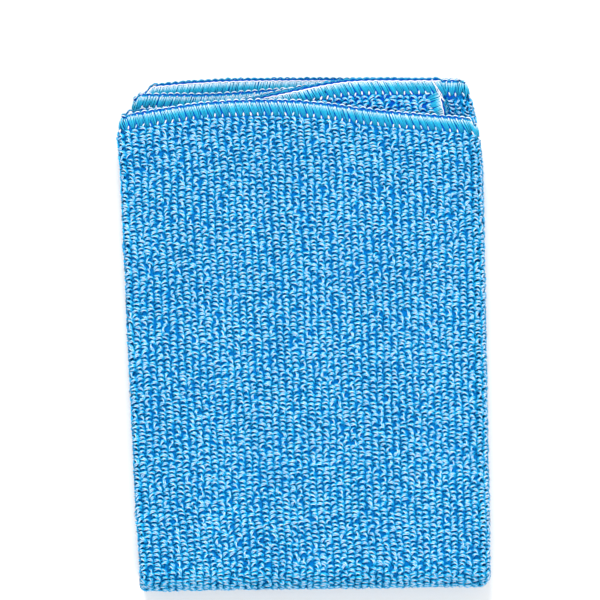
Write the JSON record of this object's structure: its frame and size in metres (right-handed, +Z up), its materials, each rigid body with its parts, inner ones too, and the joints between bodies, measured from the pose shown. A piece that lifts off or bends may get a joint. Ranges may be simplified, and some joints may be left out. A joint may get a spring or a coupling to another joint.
{
  "type": "folded microfiber cloth",
  "caption": "Square terry microfibre cleaning cloth with an overlocked hem, folded in thirds and then in half into a flat packet that lies on its back.",
  "frame": {"origin": "under the middle of the folded packet, on the surface that it lies on", "axes": "+Z up, +Y from the half fold towards the hemmed ends, +X across the packet to the right, seen from above"},
  "size_m": [0.1102, 0.1518, 0.0145],
  "materials": {
    "terry": "looped terry pile in sky blue, with a smooth overlocked edge of the same colour"
  },
  "bodies": {
    "root": {"cloth": "terry"}
  },
  "joints": []
}
